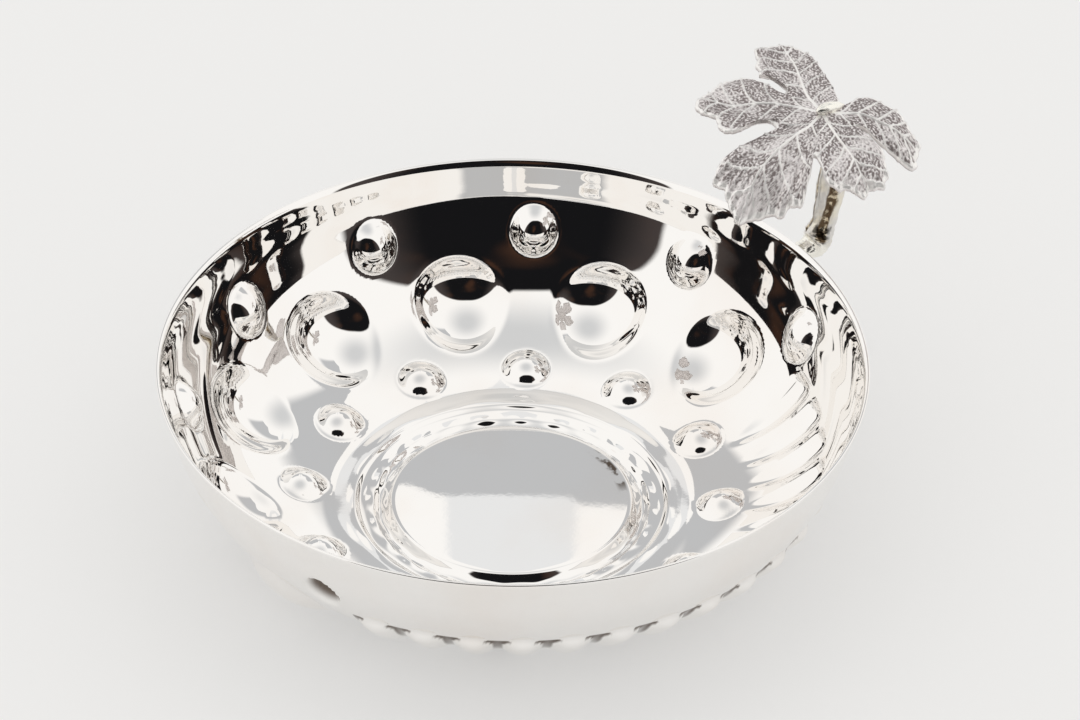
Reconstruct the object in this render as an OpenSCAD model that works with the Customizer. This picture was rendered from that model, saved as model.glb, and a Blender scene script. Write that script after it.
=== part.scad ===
// Tastevin: a shallow silver wine-tasting bowl with a cast twig and vine-leaf thumb-piece.
// Millimetres. The origin is on the bowl's axis at the table, +Z is up and +X points to the handle.
// Angles round the bowl are measured from +X, anticlockwise seen from above.
// Angles on the belly's curve are measured downwards from the level of the curve's centre.

/* [Bowl] */
// Outer diameter of the rim
rim_d = 85; // [78:0.5:110]
// Height of the bowl, from the table to the top of the lip
bowl_h = 22.2; // [20:0.1:26]
// Thickness of the silver sheet
sheet_t = 0.8; // [0.6:0.05:1.1]
// Thickness of the rounded lip
lip_d = 1; // [0.9:0.05:1.6]
// Radius of the belly's curve, inside
belly_r = 20.3; // [18:0.1:22]
// Lean of the upper wall from upright, in degrees
wall_lean = 19; // [15:0.5:23]

/* [Centre] */
// Diameter of the dome at its foot
dome_d = 29; // [24:0.5:32]
// Rise of the nearly flat dome above the floor
dome_rise = 0.35; // [0.2:0.05:4]
// Width of the channel round the dome
channel_w = 4.7; // [3.6:0.1:5.2]
// Radius of the channel's section
channel_r = 2.75; // [2.7:0.05:4]
// Width of the flat, worn land that the bowl stands on
land_w = 1.4; // [0.8:0.1:2]

/* [Cups] */
// Number of round cups sunk into the wall
cup_count = 7; // [3:1:8]
// Angle from one cup to the next
cup_step = 30; // [26:0.5:36]
// Place of the middle cup round the bowl
cup_mid = 95.4; // [80:0.1:110]
// Place of the cups on the belly's curve
cup_angle = 49; // [45:0.5:53]
// Radius of a cup's hollow
cup_r = 8.4; // [7.4:0.1:12]
// Depth of a cup below the wall
cup_depth = 1.75; // [0.8:0.05:2]

/* [Bosses] */
// Place of the upper bosses on the belly's curve
upper_boss_angle = 25; // [22:0.5:28]
// Radius of an upper boss
upper_boss_r = 3.5; // [3:0.1:5.2]
// Rise of an upper boss above the wall
upper_boss_rise = 1.75; // [0.8:0.05:2]
// Place of the lower bosses on the belly's curve
lower_boss_angle = 77; // [73:0.5:80]
// Radius of a lower boss
lower_boss_r = 3.5; // [3:0.1:4.6]
// Rise of a lower boss above the floor
lower_boss_rise = 1.55; // [0.8:0.05:1.8]
// Number of lower bosses, in a full ring
lower_boss_count = 12; // [8:1:12]
// Place of the middle of the lower ring, half a step from a boss when their number is even
lower_boss_mid = 95.4; // [80:0.1:110]

/* [Flutes] */
// Number of flutes pressed out of the wall
flute_count = 16; // [6:1:16]
// Angle from one flute to the next
flute_step = 8.93; // [8.6:0.01:10]
// Place of the middle of the fluted part round the bowl
flute_mid = 276.4; // [265:0.1:290]
// Place of a flute's blunt upper end on the belly's curve
flute_top = 34; // [31:0.5:38]
// Place where a flute runs out on the belly's curve
flute_low = 67; // [60:0.5:70]
// Radius of a flute's section
flute_r = 2.3; // [2:0.05:2.8]
// Depth of a flute at its upper end
flute_depth = 1; // [0.6:0.05:1.2]

/* [Stem] */
// Drop of the stem's foot below the top of the lip
foot_drop = 0.9; // [0.4:0.1:4]
// Diameter of the stem at its foot
foot_d = 3.6; // [3:0.1:5]
// Diameter of the stem at mid-height
stem_d = 3.1; // [2.4:0.1:4]
// Diameter of the stem's rounded tip
tip_d = 1.6; // [1.3:0.1:2.4]
// Reach of the upright stem beyond the rim
stem_reach = 6.8; // [5.5:0.1:9]
// Swelling at the twig's knots
knot_h = 0.25; // [0:0.05:0.4]
// Film of solder between two soldered faces
solder_gap = 0.05; // [0.02:0.01:0.1]

/* [Leaf] */
// Height of the leaf's seat above the top of the lip
leaf_rise = 18.2; // [14:0.1:24]
// Place of the leaf's vein junction beyond the rim
leaf_out = 3.1; // [2:0.1:4]
// Turn of the leaf about its vein junction
leaf_turn = 14; // [0:1:18]
// Thickness of the leaf
leaf_t = 0.9; // [0.6:0.05:1.4]
// Length of the middle lobe, seen from above
mid_len = 16.5; // [14:0.1:20]
// Drop of the middle lobe's tip below the seat
mid_drop = 7.1; // [3:0.1:9]
// Length of the front lobe
front_len = 13; // [10:0.1:16]
// Drop of the front lobe's tip
front_drop = 3.2; // [0:0.1:5]
// Length of the rear lobe on the front side
rear_len = 12.2; // [9:0.1:14]
// Drop of that rear lobe's tip
rear_drop = 4.6; // [0:0.1:6]
// Length of the side lobe on the far side
far_len = 15.5; // [12:0.1:18]
// Drop of that side lobe's tip
far_drop = 0.5; // [0:0.1:3]
// Length of the rear lobe on the far side, which lies flat
far_rear_len = 15.7; // [12:0.1:18]
// Height of the raised veins
vein_h = 0.35; // [0.1:0.05:0.6]
// Width of the raised veins
vein_w = 1.1; // [0.8:0.05:1.6]
// Depth of the teeth on the leaf's edge
tooth_h = 0.55; // [0.2:0.05:0.8]

/* [Hidden] */
$fn = 48;

// Bowl section: radius and height of the curve's centre follow from the rim, the lip and the floor
rim_r = rim_d / 2;
lip_r = lip_d / 2;
dome_r = dome_d / 2;
channel_x = dome_r + channel_w / 2;
channel_out = channel_r + sheet_t;
channel_z = sqrt(channel_out * channel_out - land_w * land_w / 4);
floor_z = channel_z - sqrt(channel_r * channel_r - channel_w * channel_w / 4);
belly_z = floor_z + belly_r;
belly_mid_r = belly_r + sheet_t / 2;
lip_x = rim_r - lip_r;
lip_z = bowl_h - lip_r;
wall_len = (lip_z - belly_z + belly_mid_r * sin(wall_lean)) / cos(wall_lean);
belly_x = lip_x - belly_mid_r * cos(wall_lean) - wall_len * sin(wall_lean);
dome_sphere_r = (dome_r * dome_r + dome_rise * dome_rise) / (2 * dome_rise);
dome_z = floor_z + dome_rise - dome_sphere_r;
// Sides of the dome's wide circle, of which only a short arc is used
dome_sides = 1440;
// Height by which the inside is cut clear above the lip
cut_h = 6;

// Flute path: its centre is set off the belly's centre so that the flute runs out at its lower end
flute_shift = flute_depth / (1 - cos(flute_low - flute_top));
flute_path_r = belly_r + flute_depth - flute_shift - flute_r;
// Arc of a flute's path, past the place where it has left the wall
flute_arc = 46;
// Reach of a flute's section through the face that it is pressed from
flute_bed = 0.3;

// Handle
seat_z = bowl_h + leaf_rise;
leaf_x = rim_r + leaf_out;
foot_z = bowl_h - foot_drop;
stem_x = rim_r + stem_reach;
// Depth by which the foot is made too long, before it is cut to the bowl
foot_sunk = 1.5;
// Pulls that bend the stem, as shares of its reach, its height and its thickness
knee_out = 0.74;
knee_sag = 0.58;
rise_in = 1.2;
rise_up = 0.2;
crook_below = 2;
crook_out = 0.1;
crook_up = -0.75;
over_in = 0.5;
over_up = 0.2;
tip_out = 0.3;
tip_up = 0.45;
// Places along the stem, as shares of its line: turn-over, slimming, knots and rounding of the tip
crook_at = 0.7;
slim_at = 0.35;
thin_at = 0.85;
low_knot_at = 0.3;
high_knot_at = 0.56;
knot_w = 0.045;
round_at = 0.94;
end_at = 1.0012;
stem_look = 0.005;
stem_steps = 36;
stem_sides = 14;

// Leaf lobes: place round the vein junction, length, half-width in degrees, drop of the tip
lobes = [
    [1.5, mid_len, 34, mid_drop],
    [61, front_len, 34, front_drop],
    [113, rear_len, 32, rear_drop],
    [245, far_rear_len, 34, 0],
    [299, far_len, 40, far_drop]
];
// Sinuses between lobes: place round the vein junction, distance of the bottom, its half-width in degrees
sinuses = [
    [32, 7.3, 1],
    [88, 5, 2],
    [265, 6.1, 2],
    [338, 6.3, 7]
];
// Opening of a sinus outwards, in millimetres per degree
sinus_slope = 0.95;
// Flat disc round the vein junction, and the notch in the edge where the stem passes
leaf_hub_r = 1.6;
leaf_notch_r = 2.2;
// Bluntness of a lobe's tip and fullness of its sides
lobe_power = 3;
lobe_fullness = 0.55;
// Power by which a lobe's fall grows with the distance from the junction
fall_power = 4;
// Widest angle between a vein and a point on it
vein_spread = 60;
leaf_points = 144;
leaf_rings = 7;
tooth_count = 30;

// Point on the belly's curve at an angle below level and a distance from the curve's centre
function belly_point(angle, distance) =
    [belly_x + distance * cos(angle), 0, belly_z - distance * sin(angle)];

// Signed smallest difference between two angles
function angle_gap(a, b) = (a - b + 540) % 360 - 180;

// Filled section of the bowl at an offset from the inner face: 0 is the inside, sheet_t the outside
module wall_section(offset, top) {
    curve_r = belly_r + offset;
    curve_end_x = belly_x + curve_r * cos(wall_lean);
    curve_end_z = belly_z - curve_r * sin(wall_lean);
    top_x = curve_end_x + (top - curve_end_z) * tan(wall_lean);
    intersection() {
        translate([belly_x, belly_z])
            circle(curve_r);
        translate([belly_x, 0])
            square([rim_r, curve_end_z]);
    }
    translate([0, floor_z - offset])
        square([belly_x, top - floor_z + offset]);
    polygon([
        [0, curve_end_z],
        [curve_end_x, curve_end_z],
        [top_x, top],
        [0, top]
    ]);
}

// Dome's section at an offset below its polished face, above a given height
module dome_section(offset, bottom) {
    intersection() {
        translate([0, dome_z])
            circle(dome_sphere_r - offset, $fn = dome_sides);
        translate([0, bottom])
            square([dome_r, bowl_h]);
    }
}

module outside_section(gap = 0) {
    difference() {
        union() {
            wall_section(sheet_t + gap, lip_z);
            translate([channel_x, channel_z])
                circle(channel_out);
        }
        dome_section(sheet_t, floor_z - sheet_t);
        translate([0, -channel_out])
            square([rim_r, channel_out]);
    }
}

module inside_section() {
    difference() {
        union() {
            wall_section(0, bowl_h + cut_h);
            translate([channel_x, channel_z])
                circle(channel_r);
        }
        dome_section(0, 0);
    }
}

// Ring of round forms on the belly's curve
module belly_ring(count, step, middle, angle, distance, ball_r) {
    for (i = [0 : count - 1])
        rotate([0, 0, middle + (i - (count - 1) / 2) * step])
            translate(belly_point(angle, distance))
                sphere(ball_r);
}

module cups(offset) {
    belly_ring(cup_count, cup_step, cup_mid, cup_angle, belly_r + cup_depth - cup_r, cup_r + offset);
}

module bosses(offset) {
    upper_distance = belly_r - upper_boss_rise + upper_boss_r;
    lower_distance = belly_r - lower_boss_rise + lower_boss_r;
    belly_ring(cup_count + 1, cup_step, cup_mid, upper_boss_angle, upper_distance, upper_boss_r - offset);
    belly_ring(lower_boss_count, 360 / lower_boss_count, lower_boss_mid,
               lower_boss_angle, lower_distance, lower_boss_r - offset);
}

// One flute: a slice of a round groove, blunt at its upper end and running out at its lower end
module flute(offset) {
    section_r = flute_r + offset;
    section_x = flute_path_r + section_r - flute_depth - flute_bed;
    end_turn = offset / (flute_path_r + section_r) * 180 / PI;
    translate(belly_point(flute_top, flute_shift))
        rotate([90, 0, 0])
            rotate_extrude(angle = flute_arc + end_turn, start = -flute_top - flute_arc)
                intersection() {
                    translate([flute_path_r, 0])
                        circle(section_r);
                    translate([section_x, -section_r])
                        square(2 * section_r);
                }
}

module flutes(offset) {
    for (i = [0 : flute_count - 1])
        rotate([0, 0, flute_mid + (i - (flute_count - 1) / 2) * flute_step])
            flute(offset);
}

module lip() {
    rotate_extrude()
        translate([lip_x, lip_z])
            circle(lip_r);
}

// One raised sheet: cups and flutes pressed outwards, bosses pressed inwards, lip rounded over
module bowl() {
    color("silver") {
        difference() {
            union() {
                rotate_extrude()
                    outside_section();
                cups(sheet_t);
                flutes(sheet_t);
            }
            difference() {
                union() {
                    rotate_extrude()
                        inside_section();
                    cups(0);
                    flutes(0);
                }
                bosses(0);
            }
            bosses(sheet_t);
        }
        lip();
    }
}

// Cubic curve through its first and last point
function curve(p, t) =
    pow(1 - t, 3) * p[0] + 3 * pow(1 - t, 2) * t * p[1] + 3 * (1 - t) * t * t * p[2] + pow(t, 3) * p[3];

// Stem's middle line, in the upright plane of the handle: out of the wall, up, and over onto the leaf
stem_rise = [
    [rim_r - foot_sunk, foot_z],
    [rim_r + knee_out * stem_reach, foot_z - knee_sag * foot_d],
    [stem_x - rise_in * stem_d, foot_z + rise_up * leaf_rise],
    [stem_x, seat_z - crook_below * tip_d]
];
stem_crook = [
    stem_rise[3],
    [stem_x + crook_out * tip_d, seat_z + crook_up * tip_d],
    [stem_x - over_in * tip_d, seat_z + over_up * tip_d],
    [leaf_x + tip_out * tip_d, seat_z + tip_up * tip_d]
];

function stem_line(t) =
    t < crook_at ? curve(stem_rise, t / crook_at) : curve(stem_crook, (t - crook_at) / (1 - crook_at));

// Stem's radius: thick at the foot, slimmer upwards, swollen at two knots, rounded off at the tip
function knot(t, place) = knot_h * exp(-pow((t - place) / knot_w, 2));
function stem_taper(t) =
    t < slim_at ? foot_d / 2 + (stem_d - foot_d) / 2 * t / slim_at
                : stem_d / 2 + (tip_d - stem_d) / 2 * min(1, (t - slim_at) / (thin_at - slim_at));
function stem_end(t) = t < round_at ? 1 : sqrt(max(0, 1 - pow((t - round_at) / (end_at - round_at), 2)));
function stem_radius(t) = (stem_taper(t) + knot(t, low_knot_at) + knot(t, high_knot_at)) * stem_end(t);

function stem_ring(t) =
    let(
        ahead = stem_line(min(1, t + stem_look)),
        behind = stem_line(max(0, t - stem_look)),
        run = (ahead - behind) / norm(ahead - behind),
        at = stem_line(t),
        r = stem_radius(t)
    )
    [for (k = [0 : stem_sides - 1])
        let(turn = 360 * k / stem_sides)
        [at[0] - r * cos(turn) * run[1], r * sin(turn), at[1] + r * cos(turn) * run[0]]];

module stem_body() {
    points = [for (i = [0 : stem_steps]) each stem_ring(i / stem_steps)];
    sides = [for (i = [0 : stem_steps - 1], k = [0 : stem_sides - 1])
        let(
            a = i * stem_sides + k,
            b = i * stem_sides + (k + 1) % stem_sides
        )
        each [[a, b, a + stem_sides], [b, b + stem_sides, a + stem_sides]]];
    first = [for (k = [stem_sides - 1 : -1 : 0]) k];
    last = [for (k = [0 : stem_sides - 1]) stem_steps * stem_sides + k];
    polyhedron(points, concat(sides, [first, last]));
}

// Cast twig: its foot is cut to the bowl's outside and its tip is flat where it lies on the leaf
module handle_stem() {
    seat_w = foot_d * 2;
    color("rosybrown")
        difference() {
            stem_body();
            rotate_extrude()
                outside_section(solder_gap);
            rotate_extrude() {
                translate([lip_x, lip_z])
                    circle(lip_r + solder_gap);
                translate([0, lip_z])
                    square([lip_x, foot_d]);
            }
            translate([leaf_x - seat_w, -seat_w / 2, seat_z - seat_w])
                cube([seat_w + leaf_notch_r + solder_gap, seat_w, seat_w + solder_gap]);
        }
}

// Leaf's edge: the longest lobe at each angle, with teeth, kept out of the sinuses and the notch
function lobe_reach(lobe, angle) =
    let(share = abs(angle_gap(angle, lobe[0])) / lobe[2])
    share >= 1 ? 0 : lobe[1] * pow(1 - pow(share, lobe_power), lobe_fullness);
function sinus_reach(sinus, angle) =
    sinus[1] + sinus_slope * max(0, abs(angle_gap(angle, sinus[0])) - sinus[2]);
function leaf_edge(angle) =
    let(
        reach = max([for (lobe = lobes) lobe_reach(lobe, angle)]),
        limit = min([for (sinus = sinuses) sinus_reach(sinus, angle)]),
        tooth = tooth_h * abs(sin(angle * tooth_count / 2))
    )
    max(leaf_notch_r, min(limit, reach - tooth_h + tooth));

// Fall of the leaf below its seat, which grows towards the tips of the hanging lobes
function lobe_fall(lobe, angle, out) =
    let(share = abs(angle_gap(angle, lobe[0])) / lobe[2])
    share >= 1 ? 0 : lobe[3] * (1 - share * share) * pow(out / lobe[1], fall_power);
function leaf_fall(angle, out) = max([for (lobe = lobes) lobe_fall(lobe, angle, out)]);

// Raised veins along the middle of each lobe, clear of the stem's tip
function vein_rise(lobe, angle, out) =
    let(aside = abs(out * sin(angle_gap(angle, lobe[0]))) / (vein_w / 2))
    abs(angle_gap(angle, lobe[0])) > vein_spread || aside > 1 ? 0 : vein_h * (1 - aside * aside);
function leaf_vein(angle, out) =
    out <= leaf_notch_r ? 0 : max([for (lobe = lobes) vein_rise(lobe, angle, out)]);

function leaf_point(ring, k, under) =
    let(
        angle = 360 * k / leaf_points,
        edge = leaf_edge(angle),
        out = leaf_hub_r + (edge - leaf_hub_r) * (ring - 1) / (leaf_rings - 1),
        fall = leaf_fall(angle, out)
    )
    [out * cos(angle), out * sin(angle), -fall + (under ? -leaf_t : leaf_vein(angle, out))];

function leaf_sheet(under) =
    [[0, 0, under ? -leaf_t : 0],
     for (ring = [1 : leaf_rings], k = [0 : leaf_points - 1]) leaf_point(ring, k, under)];

module leaf_body() {
    sheet_size = leaf_points * leaf_rings + 1;
    points = concat(leaf_sheet(false), leaf_sheet(true));
    function at(under, ring, k) = (under ? sheet_size : 0) + 1 + (ring - 1) * leaf_points + k % leaf_points;
    hub = [for (k = [0 : leaf_points - 1]) each [
        [0, at(false, 1, k + 1), at(false, 1, k)],
        [sheet_size, at(true, 1, k), at(true, 1, k + 1)]]];
    blade = [for (ring = [1 : leaf_rings - 1], k = [0 : leaf_points - 1]) each [
        [at(false, ring, k), at(false, ring, k + 1), at(false, ring + 1, k)],
        [at(false, ring, k + 1), at(false, ring + 1, k + 1), at(false, ring + 1, k)],
        [at(true, ring, k), at(true, ring + 1, k), at(true, ring, k + 1)],
        [at(true, ring, k + 1), at(true, ring + 1, k), at(true, ring + 1, k + 1)]]];
    edge = [for (k = [0 : leaf_points - 1]) each [
        [at(false, leaf_rings, k), at(false, leaf_rings, k + 1), at(true, leaf_rings, k)],
        [at(false, leaf_rings, k + 1), at(true, leaf_rings, k + 1), at(true, leaf_rings, k)]]];
    polyhedron(points, concat(hub, blade, edge));
}

// Cast vine leaf: five toothed lobes round the vein junction, the middle one hanging over the rim
module leaf() {
    color("gainsboro")
        translate([leaf_x, 0, seat_z])
            rotate([0, 0, 180 + leaf_turn])
                leaf_body();
}

bowl();
handle_stem();
leaf();
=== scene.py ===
"""Looks of a silver tastevin: a chased bowl, a cast twig and a cast vine leaf, in a white studio.

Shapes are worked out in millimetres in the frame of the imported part: the origin is on the bowl's axis at
the table, +Z is up and +X points to the handle. Meshes are scaled to metres when they are made.
"""
import math

import bpy
import numpy as np
from mathutils import Matrix, Vector, noise


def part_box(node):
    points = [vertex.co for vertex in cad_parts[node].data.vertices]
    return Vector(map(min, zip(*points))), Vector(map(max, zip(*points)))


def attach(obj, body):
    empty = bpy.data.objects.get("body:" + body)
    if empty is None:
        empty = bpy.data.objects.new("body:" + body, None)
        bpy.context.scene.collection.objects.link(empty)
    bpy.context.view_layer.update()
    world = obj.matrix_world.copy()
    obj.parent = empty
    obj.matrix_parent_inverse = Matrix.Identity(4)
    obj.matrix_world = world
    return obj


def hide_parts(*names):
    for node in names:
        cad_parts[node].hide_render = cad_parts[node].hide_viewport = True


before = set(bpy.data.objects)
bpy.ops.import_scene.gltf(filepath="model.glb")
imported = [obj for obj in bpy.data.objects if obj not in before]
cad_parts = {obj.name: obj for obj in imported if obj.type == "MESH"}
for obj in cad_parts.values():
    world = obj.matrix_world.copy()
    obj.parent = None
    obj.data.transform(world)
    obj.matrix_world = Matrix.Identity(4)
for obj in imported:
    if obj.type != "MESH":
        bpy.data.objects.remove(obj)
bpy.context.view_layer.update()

MM = 0.001
TAU = 2 * math.pi
BODY = "root"

# Bowl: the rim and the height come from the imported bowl
_, bowl_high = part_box("bowl")
RIM_R = bowl_high.x / MM
BOWL_H = bowl_high.z / MM
SHEET_T = 0.8
LIP_EDGE_R = 0.2
LIP_ROLL_R = 1.3
LIP_ROLL_END = math.radians(50)
BELLY_R = 20.3
BELLY_X = 20.6
WALL_LOW_LEAN = math.radians(23)
WALL_TOP_LEAN = math.radians(16)
KNEE_REACH = 1.2
DOME_R = 14.5
DOME_RISE = 0.15
CHANNEL_W = 4.7
CHANNEL_R = 2.75
# Inside of the channel from the dome's edge: distance out and depth below the floor
CHANNEL_STEPS = [(0, 0), (0.45, 0.56), (0.85, 1.0), (1.25, 1.26), (1.56, 1.16), (2.1, 0.62), (3.8, 0.5),
                 (4.3, 0)]
LAND_W = 1.4
LIP_H = 2.5

# Relief of the bowl: places round the axis and on the belly's curve in degrees, sizes in millimetres
CUP_ANGLES = [5.4 + 30 * i for i in range(7)]
CUP_PLACE = 49
CUP_SIDE_R = 9.0
CUP_TOP_R = 6.4
CUP_LOW_R = 9.0
CUP_DEPTH = 1.75
UPPER_BOSS_ANGLES = [-9.6 + 30 * i for i in range(8)]
UPPER_BOSS_PLACE = 25
UPPER_BOSS_HALF = (2.9, 3.3)
UPPER_BOSS_RISE = 1.75
LOWER_BOSS_ANGLES = [-9.6 + 30 * i for i in range(12)]
LOWER_BOSS_PLACE = 77
LOWER_BOSS_HALF = (2.9, 2.9)
LOWER_BOSS_RISE = 1.55
FLUTE_COUNT = 16
FLUTE_STEP = 8.93
FLUTE_MID = 276.4
FLUTE_HEAD = 37
FLUTE_LOW = 67
FLUTE_R = 2.2
FLUTE_HEAD_LEN = 1.0
FLUTE_DEPTH = 1.0
HAND_WAVE_H = 0.012

# How forms of the relief run into each other: widths of the blends, and where and how fast their ends fall
CUP_BLEND = 0.45
FLUTE_BLEND = 0.2
BOSS_BLEND = 0.5
BOSS_END = 0.95
BOSS_FALL = 9
FLUTE_END = 0.98
FLUTE_FALL = 4
FAR_BELOW = -9.0
LEAST_FACING = 0.2

# Punched dents of the channel: distance out from the dome, half-width, height
INNER_DENT_OUT = 1.83
INNER_DENT_HALF = 0.5
INNER_DENT_H = 0.125
INNER_DENT_UNEVEN = 0.05
OUTER_DENT_OUT = 4.05
OUTER_DENT_HALF = 0.45
OUTER_DENT_H = 0.07

# Painted shade on the outside: height of boss that is fully shaded, and the gaps between the flutes
SHADED_BOSS = 1.2
GAP_FROM = 0.25
GAP_FADE = 0.2
GAP_ABOVE_HEAD = 3
GAP_END = 16
GAP_RUN = 12

# Handle: the leaf's seat and the stem's line
LEAF_RISE = 18.2
LEAF_OUT = 3.1
LEAF_TURN = math.radians(54)
LEAF_T = 0.9
LEAF_EDGE_T = 0.4
SEAT_Z = BOWL_H + LEAF_RISE
LEAF_X = RIM_R + LEAF_OUT
STEM_REACH = 6.8
FOOT_DROP = 0.9
FOOT_D = 3.6
STEM_D = 3.1
TIP_D = 1.6
FOOT_SUNK = 0.6

# Leaf's edge round the vein junction, lobe by lobe: angle in degrees, distance, drop below the seat
LEAF_LOBES = [
    [(-32, 3.8, 0), (-6.5, 7.5, 0), (2, 10.7, -0.1), (6.7, 12.8, -0.2), (13, 14.0, -0.2), (20, 15.2, -0.3),
     (27, 15.5, -0.3), (31, 15.4, -0.3), (34.5, 13.5, -0.2), (38.3, 12.7, -0.1), (39.5, 11.6, 0),
     (42.5, 11.1, 0), (37, 9.8, 0), (33.2, 8.6, 0), (34.5, 7.4, 0), (38.5, 6.7, 0), (46, 6.3, 0)],
    [(53, 6.3, 0), (51, 7.8, 0), (46.5, 9.4, 0), (47.5, 10.6, 0), (50, 11.9, 0), (57.4, 13.3, 0),
     (64, 14.0, 0), (71, 14.2, 0), (77.5, 14.8, 0), (82.6, 15.4, 0), (87, 14.8, 0.1), (91.6, 12.9, 0.2),
     (97, 12.7, 0.3), (101.8, 12.3, 0.4), (105, 10.9, 0.3), (102, 8.6, 0), (98.6, 7.2, 0), (105, 6.2, 0),
     (117, 6.2, 0), (126, 6.65, 0)],
    [(122, 8.4, 0.3), (120, 11.5, 1.0), (118.8, 13.7, 2.0), (123, 15.5, 3.0), (124.5, 15.9, 3.9),
     (129, 15.3, 4.2), (132, 15.6, 5.0), (138.5, 16.1, 6.5), (141.5, 16.2, 7.1), (143.3, 15.1, 6.6),
     (147.5, 14.0, 6.6), (152, 13.2, 6.4), (158.4, 13.3, 6.5), (160.4, 12.2, 5.6), (167.2, 12.2, 5.0),
     (169, 11.2, 3.8), (169.4, 10.4, 2.8), (170.5, 9.1, 1.8), (167.6, 8.2, 1.0), (172, 7.3, 0.5)],
    [(178.7, 8.75, 1.2), (181, 10.2, 2.0), (185.7, 10.9, 2.6), (190, 11.5, 3.0), (193.5, 11.2, 3.0),
     (197, 11.7, 3.1), (202, 13.0, 3.3), (207, 12.0, 3.1), (210, 12.3, 3.0), (215, 12.8, 3.0),
     (217, 12.0, 2.8), (220.5, 12.0, 2.4), (223.5, 10.9, 2.0), (228, 9.9, 1.5), (232, 9.0, 1.1),
     (234.5, 7.4, 0.7), (235, 5.8, 0.4), (236, 4.8, 0.1)],
    [(239, 4.9, -0.2), (240.5, 6.2, 0.2), (241.5, 8.1, 1.5), (244, 9.4, 2.8), (244.5, 10.6, 3.6),
     (246, 11.8, 4.1), (250, 12.1, 4.1), (255, 11.8, 3.7), (261, 12.0, 3.0), (265, 11.2, 2.4),
     (268.6, 10.6, 1.6), (275, 9.9, 1.0), (282, 9.3, 0.5), (290, 8.4, 0.2), (297, 7.4, 0), (302, 6.4, 0),
     (302, 5.7, 0), (296, 5.0, 0), (289, 4.2, 0), (287, 3.0, 0), (300, 2.3, 0), (318, 2.2, 0)],
]
LOBE_AXES = [20, 80, 141.5, 203, 260]
LOBE_LENGTHS = [15.5, 15.4, 16.2, 13.0, 12.0]
EDGE_STEP = 0.16
EDGE_BULGE = 0.1
TOOTH_H = 0.22
TOOTH_STEP = 1.15
TEETH_FROM = 7
TEETH_FADE = 3
EDGE_CURL = 0.5
LEAF_SWELL = 0.6
VEIN_H = 0.3
VEIN_W = 0.3
SIDE_VEIN_TURN = math.radians(42)
SIDE_VEIN_STARTS = (0.16, 0.34, 0.52, 0.68, 0.82)
SIDE_VEIN_SHARE = 0.6
SIDE_VEIN_HEIGHT = 0.8
SIDE_VEIN_BEND = 0.07
VEIN_BOWS = (0.45, -0.35)
CURL_W = 1.4
LEAF_RIM_W = 0.45
LEAF_RIM_H = 0.14
MATT_SIZE = 0.24
MATT_H = 0.07
SWELL_SIZE = 3.2
SWELL_SEED = 3.0
TOP_SEED = 0.0
UNDER_SEED = 7.3
UNDER_VEIN_H = 0.1
UNDER_MATT_H = 0.05
# Flat seat of the stem's tip, and how far from it the relief reaches its full height
SEAT_R = 1.5
SEAT_FADE = 2.5
# Lobes that hang low are lightened with painted light
LOW_FALL = 6
LOW_PAINTED_LIGHT = 0.2

# Camera that was fitted to the photo: place round the object, distance, target and focal length
CAMERA_AZIMUTH = math.radians(-36)
CAMERA_ELEVATION = math.radians(36.795)
CAMERA_DISTANCE = 24 * RIM_R
CAMERA_ASIDE = 0.0756 * RIM_R
CAMERA_ABOVE = 0.0158 * RIM_R
CAMERA_ROLL = 0.0122
FOCAL_LENGTH = 286.0
SENSOR_W = 36.0

# Studio: what the camera sees, what lights the floor, and the parts of the room that the metal reflects
BACKGROUND = (0.86, 0.86, 0.86)
FLOOR_COLOUR = (0.86, 0.855, 0.845)
FLOOR_GLOW = 0.45
ROOM_LIGHT = (1.0, 0.995, 0.985)
ROOM_WHITE = (1.0, 0.99, 0.975)
ROOM_TOP = (0.66, 0.67, 0.68)
ROOM_PANEL = (0.84, 0.85, 0.86)
ROOM_BACK = (0.54, 0.55, 0.565)
FRONT_BLACK = (0.008, 0.008, 0.009)
FRONT_BROWN = (0.05, 0.025, 0.016)
FRONT_FLANK = (0.06, 0.05, 0.048)
# Dark front: degrees to the right, to the left and up, and how square its arch is
FRONT_RIGHT = 56
FRONT_LEFT = 48
FRONT_TOP = 56
FRONT_SQUARE = 2.6

# Silver: colours of the polish, its painted shade and its dark smear, of the leaf and of the twig
POLISH = (0.95, 0.935, 0.915)
POLISH_WARM = (0.93, 0.895, 0.86)
# painted shade behind the bosses and at the heads of the flute gaps
DENT_PAINTED_SHADE = (0.15, 0.12, 0.10)
SMEAR_TONE = (0.16, 0.12, 0.09)
LEAF_PALE = (0.89, 0.85, 0.84)
LEAF_TONED = (0.25, 0.215, 0.21)
LEAF_BRIGHT = (0.96, 0.94, 0.915)
BARK_GREY = (0.76, 0.74, 0.71)
BARK_GILT = (0.86, 0.81, 0.70)
# the grooves' dark brown is painted shade
GROOVE_PAINTED_SHADE = (0.11, 0.075, 0.045)
GROOVE_GILT = (0.66, 0.57, 0.42)
TWIG_WORN = (0.95, 0.93, 0.86)
# Smear on the dome: where it fades in and out, away from the axis and, in degrees, round it; least height
SMEAR_NEAR = (12.7, 13.4)
SMEAR_FAR = (13.9, 14.2)
SMEAR_FROM = (-32, -20)
SMEAR_TO = (2, 12)
SMEAR_ABOVE = 1.8


def smooth_max(a, b, width):
    """Larger of two values, rounded over where they are nearly equal."""
    gap = np.maximum(width - np.abs(a - b), 0) / width
    return np.maximum(a, b) + gap * gap * width / 4


def make_mesh(name, points, faces):
    """Mesh object from points in millimetres, smooth shaded."""
    mesh = bpy.data.meshes.new(name)
    mesh.from_pydata((points * MM).tolist(), [], faces)
    mesh.polygons.foreach_set("use_smooth", [True] * len(mesh.polygons))
    mesh.update()
    obj = bpy.data.objects.new(name, mesh)
    bpy.context.scene.collection.objects.link(obj)
    return obj


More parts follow.
